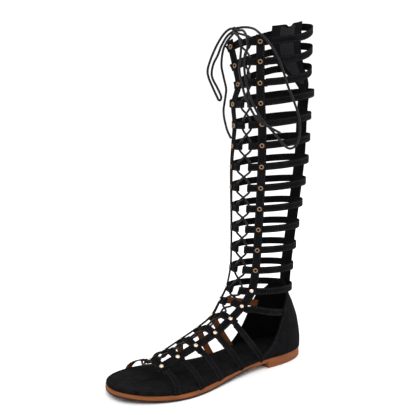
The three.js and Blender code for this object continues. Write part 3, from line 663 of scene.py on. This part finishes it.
LACE_THREADED = 2.3
PASS = 4.6  # half the lace's run through a fold
CROSS_OVER = 1.25  # each strand's middle over or under the crossing
TOE_LOOP = [
    (-8, -163, 27), (-14, -167, 28), (-13, -168, 25.5), (-8, -170, 25), (-2, -169, 26), (2, -164, 26),
]
strands = []
for first in ("lateral", "medial"):
    other = "medial" if first == "lateral" else "lateral"
    points = [KNOT + np.array([3.0 if first == "lateral" else -1.5, -0.5, -3.5])]
    for row in range(1, ROWS + 1):
        here, there = (first, other) if row % 2 else (other, first)
        points += [eye_point(row, here, slide)[0] for slide in (-PASS, 0.0, PASS)]
        if row < ROWS:
            middle = np.mean([eye_point(r, s, 0)[0] for r in (row, row + 1) for s in SIDES], axis=0)
            out = unit(eye_point(row, here, 0)[1] + eye_point(row, there, 0)[1])
            points.append(middle + (CROSS_OVER if here == "lateral" else -CROSS_OVER) * out)
    line = spline(points, CORD_STEP)
    strands.append(round_cord(f"strand_{first}", line, LACE_THREADED, braided, sides=12))
toe_turn = [eye_point(ROWS, "medial", 4.0)[0], *TOE_LOOP, eye_point(ROWS, "lateral", 4.0)[0]]
strands.append(round_cord("toe_turn", spline(toe_turn, 1.0), LACE_THREADED, braided, sides=12))
settled(joined("threaded_lace", strands), "black_cord", "lace_crossings")

# ---- Outsole and footbed -----------------------------------------------------------------------
# The outsole is tan moulded rubber, darker along the bottom of its edge under the forefoot, with a low
# heel and a lifted waist. The footbed is a thin board wrapped in suede, with a stitched line inside its
# edge.


def sole_shares(count, breaks=()):
    """Shares of the length, closer at the round ends, with extra ones at the given places."""
    even = (1 - np.cos(np.linspace(0.0, np.pi, count))) / 2
    return np.sort(np.concatenate([even, breaks]))


def sole_shell(name, levels, shares, material):
    """A closed form out of outlines: each level gives an inset, how much of the half width is kept, and
    its height at each share. Outlines run up the lateral edge and back down the medial one."""
    loops, marks = [], []
    for inset, keep, height in levels:
        margin = inset / SOLE_LONG
        s = margin + (1 - 2 * margin) * shares
        halves = [SIDES[side] * keep * sole_half(side, s, inset) for side in SIDES]
        y, z = HEEL_BACK - s * SOLE_LONG, height(s)
        sides = [np.stack([half, y, z], 1) for half in halves]
        loops.append(np.vstack([sides[0], sides[1][-2:0:-1]]))
        low = z - sole_bottom(s)
        marks.append(np.stack([np.concatenate([y, y[-2:0:-1]]), np.concatenate([low, low[-2:0:-1]])], 1))
    return surface(name, np.array(loops), np.array(marks), material)


breast = float(share_at(BREAST))


def sole_bottom(share):
    """The underside: flat under the heel, lifted at the waist, flat at the ball, lifted at the toe."""
    return np.where(share < breast, 0.0, np.maximum(sole_side(share)[0], 0))


def sole_top(share):
    """The outsole's upper face, under the footbed."""
    return sole_side(share)[1]


def moulded_rubber():
    """Moulded rubber with a leather-board look: fine streaks along the edge, and darker along the bottom
    2.5 mm of the edge under the forefoot. The UV map holds the place along the sole and the height over
    its underside."""
    material, tree, output = new_material("tan_rubber_sole")
    place = add(tree, "SeparateXYZ", {}, {0: add(tree, "TexCoord").outputs["UV"]})
    stretched = add(tree, "CombineXYZ", {}, {
        "X": place.outputs[0],
        "Y": add(tree, "Math", {"operation": "MULTIPLY"}, {0: place.outputs[1], 1: 22.0}).outputs[0]})
    streak = add(tree, "TexNoise", {}, {
        "Vector": stretched.outputs[0], "Scale": 0.055 / MM, "Detail": 5.0}).outputs["Fac"]
    factor = add(tree, "MapRange", {}, {"Value": streak, "From Min": 0.3, "From Max": 0.7}).outputs[0]
    tan = colour_between(tree, factor, "#5e3418", "#8a5029")
    over, behind = (
        add(tree, "MapRange", {"interpolation_type": "SMOOTHSTEP"}, {
            "Value": place.outputs[axis], "From Min": low * MM, "From Max": high * MM}).outputs[0]
        for axis, low, high in ((1, 2.3, 2.9), (0, -70, -45)))
    plain = add(tree, "Math", {"operation": "MAXIMUM"}, {0: over, 1: behind}).outputs[0]
    colour = add(tree, "Mix", {"data_type": "RGBA"}, {0: plain, 6: linear("#2c1609"), 7: tan}).outputs[2]
    grit = add(tree, "TexNoise", {}, {
        "Vector": add(tree, "TexCoord").outputs["Object"], "Scale": 1.6 / MM, "Detail": 2.0}).outputs["Fac"]
    bump = add(tree, "Bump", {}, {"Strength": 0.25, "Distance": 0.2 * MM, "Height": grit})
    shader = add(tree, "BsdfPrincipled", {}, {
        "Base Color": colour, "Roughness": 0.7, "IOR": 1.5, "Specular IOR Level": 0.2,
        "Normal": bump.outputs[0]})
    tree.links.new(shader.outputs[0], output.inputs["Surface"])
    return material


rubber = moulded_rubber()
shares = sole_shares(150, (breast - 0.0006, breast + 0.0016))
outsole_levels = [(6.0, keep, sole_bottom) for keep in (0.02, 0.6, 1.0)]
outsole_levels += [
    (2.0, 1.0, sole_bottom),
    (0.9, 1.0, lambda s: sole_bottom(s) + 0.15),
    (0.2, 1.0, lambda s: sole_bottom(s) + 0.9),
    (0.0, 1.0, lambda s: sole_bottom(s) + 1.8),
    (0.15, 1.0, lambda s: sole_bottom(s) + 2.0),
    (0.0, 1.0, lambda s: sole_bottom(s) + 2.2),
    (0.0, 1.0, lambda s: (sole_bottom(s) + sole_top(s)) / 2 + 0.5),
    (0.1, 1.0, lambda s: sole_top(s) - 0.3),
    (0.5, 1.0, sole_top),
]
outsole_levels += [(4.0, keep, sole_top) for keep in (1.0, 0.5, 0.02)]
outsole = sole_shell("rubber_outsole", outsole_levels, shares, rubber)
edge = outsole.modifiers.new("crisp edges", "EDGE_SPLIT")
edge.split_angle = np.radians(40)
settled(outsole, "outsole_rubber", "outsole")

BED_INSET, BED_GAP = 1.2, 0.3


def bed(lift):
    """Heights at `lift` over the underside of the footbed."""
    return lambda s: sole_top(s) + BED_GAP + lift


bed_levels = [(3.0, keep, bed(0.0)) for keep in (0.02, 1.0)]
bed_levels += [
    (BED_INSET + 0.3, 1.0, bed(0.0)), (BED_INSET - 0.3, 1.0, bed(0.5)), (BED_INSET - 0.6, 1.0, bed(1.4)),
    (BED_INSET - 0.5, 1.0, bed(2.4)), (BED_INSET, 1.0, bed(3.2)), (BED_INSET + 0.8, 1.0, bed(3.62)),
    (BED_INSET + 2.0, 1.0, bed(3.75)), (BED_INSET + 3.6, 1.0, bed(3.7)), (BED_INSET + 4.2, 1.0, bed(3.45)),
    (BED_INSET + 4.8, 1.0, bed(3.7)), (BED_INSET + 6.5, 1.0, bed(3.8)), (BED_INSET + 10.0, 1.0, bed(3.7)),
]
bed_levels += [(BED_INSET + 10.0, keep, bed(3.55)) for keep in (0.7, 0.4, 0.02)]
bed_suede = suede("black_suede_footbed", "#080808", "#19181a", grain=0.6, sheen=0.02)
settled(sole_shell("suede_footbed", bed_levels, sole_shares(150), bed_suede), "black_suede", "footbed")

# ---- Heel counter ------------------------------------------------------------------------------
# A closed cup of suede over a stiffener, from the sole up to a point behind the ankle. Its front
# edges are turned in and stitched.

heel = table([(8, -17, 28.2, 49.8), (25, -18, 28.6, 50.2), (45, -18.5, 27.5, 46.5), (54, -19, 27, 43.5),
              (65, -19.5, 26, 39), (75, -20, 24, 34.5), (90, -21, 21, 31.5)])
counter_edge = table([(0, 88), (30, 83), (50, 75), (71, 65), (80, 54), (87, 45), (96, 32), (105, 23.6),
                      (122, 14)])
COUNTER_TURN, COUNTER_THICK, COUNTER_BOTTOM, COUNTER_HIGH = 122.0, 1.6, 11.4, 80.0
WAIST_TURN = 60.0  # from here forwards the cup stays inside the sole's edge
DEGREE_WIDE = 0.6  # a degree round the heel, in millimetres
SEAM_IN = 2.2


def counter_face(turn, share, depth):
    """The cup's face: an oval round the heel, straight ahead of its widest place, over the sole's edge."""
    size = np.abs(turn)
    z = COUNTER_BOTTOM + (counter_edge(size)[0] - COUNTER_BOTTOM) * share
    centre, half, long = heel(z)
    angle, ahead = np.radians(np.minimum(size, 90)), np.radians(np.maximum(size - 90, 0))
    y = centre + (long - depth) * np.cos(angle) - long * np.sin(ahead)
    s = share_at(y)
    edge = np.where(turn > 0, sole_half("lateral", s), sole_half("medial", s))
    waist = edge + 0.7 + 0.1 * (z - COUNTER_BOTTOM) - depth
    side = np.where(size > WAIST_TURN, np.minimum((half - depth) * np.sin(angle), waist),
                    (half - depth) * np.sin(angle))
    return np.stack([np.sign(turn) * side, y, z], -1)


turns = np.linspace(-COUNTER_TURN, COUNTER_TURN, 121)
shares = np.linspace(0, 1, 30)
outer = counter_face(turns[:, None], shares[None], 0.0)
inside = counter_face(turns[:, None], shares[None, ::-1], COUNTER_THICK)
bead = (outer[:, -1:] + inside[:, :1]) / 2 + [0, 0, 0.45]
grid = np.concatenate([outer, bead, inside], 1)
height = np.concatenate([shares, [1.0], shares[::-1]]) * COUNTER_HIGH
uv = np.stack(np.broadcast_arrays((turns * DEGREE_WIDE)[:, None], height[None]), -1)
inner = np.arange(grid.shape[1]) >= len(shares) + 1
counter = surface("suede_heel_counter", grid, uv, [black_suede, black_lining], second=inner)
settled(counter, "black_suede", "heel_counter")
rim = counter_face(turns, 1 - SEAM_IN / np.maximum(counter_edge(np.abs(turns))[0] - COUNTER_BOTTOM, 4), 0.0)
normal = unit(np.cross(np.gradient(rim, axis=0), [0, 0, 1.0]))
normal *= np.sign(np.sum(normal * (rim - [0, -20, 0]), 1, keepdims=True))
seams.append((rim + 0.05 * normal, normal))

# ---- Back yoke ---------------------------------------------------------------------------------
# A V of suede that stiffens the top of the back, in two halves with a notch between their tops. Its
# middle is faced inside with a smooth woven tape.


YOKE_LOW, YOKE_TOP, YOKE_SLANT, YOKE_THICK = 291.0, 364.2, 1.8, 2.0
NOTCH_DEEP, NOTCH_HALF = 2.8, 0.22


def yoke_face(u, v, depth):
    """The yoke's face: it leans forward and bows round the leg, wider to the top; the notch lowers the
    middle of its upper edge."""
    top = YOKE_TOP + YOKE_SLANT * u - NOTCH_DEEP * np.exp(-((u / NOTCH_HALF) ** 4))
    z = YOKE_LOW + (top - YOKE_LOW) * v
    middle, half, behind, bow = yoke(z)
    return np.stack(np.broadcast_arrays(middle + half * u, behind - bow * u**2 - depth, z), -1)


def yoke_sheet(name, u, v, front, behind, material, *nodes):
    """A closed sheet on the yoke's face, its outer side at depth `front` and its inner one at `behind`,
    with 20 mm across and 75 mm up to a whole u and v in its UV map."""
    u, v = u[:, None], v[None]
    grid = np.concatenate([yoke_face(u, v, front), yoke_face(u, v[:, ::-1], behind)], 1)
    uv = np.stack(np.broadcast_arrays(u * 20, np.concatenate([v, v[:, ::-1]], 1) * 75), -1)
    return settled(surface(name, grid, uv, material), "black_suede", *nodes)


yoke_sheet("suede_yoke", np.linspace(-1, 1, 49), np.linspace(0, 1, 40), 0.0, YOKE_THICK, black_suede,
           "back_yoke")


def woven_tape():
    """Polyester tape: a smooth slanted weave with a faint violet cast, its rows drawn 2.3 mm apart so
    that they show."""
    material, tree, output = new_material("woven_polyester_tape")
    place = add(tree, "TexCoord").outputs["UV"]
    weave = add(tree, "TexWave", {"bands_direction": "DIAGONAL", "wave_profile": "SIN"}, {
        "Vector": place, "Scale": 0.19375 / MM, "Distortion": 0.4}).outputs["Fac"]
    bump = add(tree, "Bump", {}, {"Strength": 0.3, "Distance": 0.1 * MM, "Height": weave})
    shader = add(tree, "BsdfPrincipled", {}, {
        "Base Color": colour_between(tree, weave, "#0f0e11", "#1b191f"), "Roughness": 0.7,
        "Specular IOR Level": 0.1, "Normal": bump.outputs[0]})
    tree.links.new(shader.outputs[0], output.inputs["Surface"])
    return material


# Half the yoke's width and most of its height, sunk a little into its inner face.
yoke_sheet("yoke_tape", np.linspace(-0.5, 0.5, 13), np.linspace(0.14, 0.97, 40),
           YOKE_THICK - 0.1, YOKE_THICK + 0.5, woven_tape())

# ---- Stitching ---------------------------------------------------------------------------------
# Bonded polyester thread, 0.5 mm thick: a stitch every 3 mm along both edges of each strap and
# strip, and round the counter. Each stitch is a small rod that dips into the suede at both ends.

STITCH_PITCH, STITCH_LONG, THREAD = 3.0, 2.1, 0.5


def stitches(name, material):
    """All the stitches as one mesh: for each, five sections of five points from end to end, the ends
    small and sunk, set along its seam."""
    middles, alongs, outs = [], [], []
    for line, out in seams:
        length = np.concatenate([[0], np.cumsum(np.linalg.norm(np.diff(line, axis=0), axis=1))])
        at = np.arange(STITCH_PITCH, length[-1] - STITCH_PITCH / 2, STITCH_PITCH)
        place, normal = (
            np.stack([np.interp(at, length, part[:, k]) for k in range(3)], 1) for part in (line, out))
        ahead = np.stack([np.interp(at + 0.5, length, line[:, k]) for k in range(3)], 1) - place
        middles.append(place)
        alongs.append(unit(ahead))
        outs.append(unit(normal))
    middle, along, out = (np.vstack(part)[:, None, None] for part in (middles, alongs, outs))
    across = np.cross(along, out)
    t = np.linspace(-1, 1, 5)[:, None, None]
    turn = np.linspace(0, 2 * np.pi, 5, endpoint=False)[:, None]
    wide = THREAD / 2 * np.sqrt(1.05 - t**2)
    grid = (middle + STITCH_LONG / 2 * t * along + (0.06 - 0.22 * t**2) * out
            + wide * (np.cos(turn) * across + np.sin(turn) * out))
    count = len(grid)
    index = np.arange(count * 25).reshape(count, 5, 5)
    ahead = np.roll(index, -1, 2)
    quads = np.stack([index[:, :-1], index[:, 1:], ahead[:, 1:], ahead[:, :-1]], -1).reshape(-1, 4)
    mesh = bpy.data.meshes.new(name)
    ends = np.concatenate([index[:, 0, :], index[:, -1, ::-1]])
    mesh.from_pydata((grid.reshape(-1, 3) * MM).tolist(), [], quads.tolist() + ends.tolist())
    mesh.materials.append(material)
    mesh.shade_smooth()
    piece = bpy.data.objects.new(name, mesh)
    bpy.context.scene.collection.objects.link(piece)
    return piece


def bonded_thread():
    """Black bonded polyester: a slight satin gloss, a shade lighter than the suede round it."""
    material, tree, output = new_material("bonded_polyester_thread")
    place = add(tree, "TexCoord").outputs["Object"]
    lay = add(tree, "TexNoise", {}, {"Vector": place, "Scale": 2.5 / MM}).outputs["Fac"]
    shader = add(tree, "BsdfPrincipled", {}, {
        "Base Color": colour_between(tree, lay, "#131214", "#2a292c"), "Roughness": 0.6,
        "Specular IOR Level": 0.2})
    tree.links.new(shader.outputs[0], output.inputs["Surface"])
    return material


settled(stitches("stitching", bonded_thread()), "black_suede")

# ---- Floor and light ---------------------------------------------------------------------------
# A plain pale floor and large soft lamps, for a studio with a white sweep.

floor_mesh = bpy.data.meshes.new("floor")
floor_mesh.from_pydata([(-6, -6, 0), (6, -6, 0), (6, 6, 0), (-6, 6, 0)], [], [(0, 1, 2, 3)])
floor = bpy.data.objects.new("floor", floor_mesh)
bpy.context.scene.collection.objects.link(floor)
paper, tree, output = new_material("white_paper_sweep")
shader = add(tree, "BsdfPrincipled", {}, {"Base Color": linear("#fbfbfb"), "Roughness": 0.9})
tree.links.new(shader.outputs[0], output.inputs["Surface"])
floor_mesh.materials.append(paper)

world = bpy.data.worlds.new("studio")
world.use_nodes = True
world.node_tree.nodes["Background"].inputs["Color"].default_value = linear("#ffffff")
world.node_tree.nodes["Background"].inputs["Strength"].default_value = 1.12
bpy.context.scene.world = world


def lamp(name, place, aim, size, power):
    """A square soft lamp that looks at a point."""
    data = bpy.data.lights.new(name, "AREA")
    data.size, data.energy = size, power
    light = bpy.data.objects.new(name, data)
    away = unit(np.array(place) - np.array(aim))
    side = unit(np.cross([0, 0, 1.0], away))
    matrix = np.eye(4)
    matrix[:3, 0], matrix[:3, 1], matrix[:3, 2], matrix[:3, 3] = side, np.cross(away, side), away, place
    light.matrix_world = matrix.T.tolist()
    bpy.context.scene.collection.objects.link(light)


lamp("key", (1.1, -1.0, 1.5), (0, -0.05, 0.15), 0.9, 16)
lamp("fill", (-1.3, -0.9, 0.9), (0, -0.05, 0.15), 1.2, 5)
lamp("rim", (0.2, 1.4, 1.2), (0, -0.05, 0.2), 0.9, 8)
bpy.context.scene.view_settings.view_transform = "Standard"
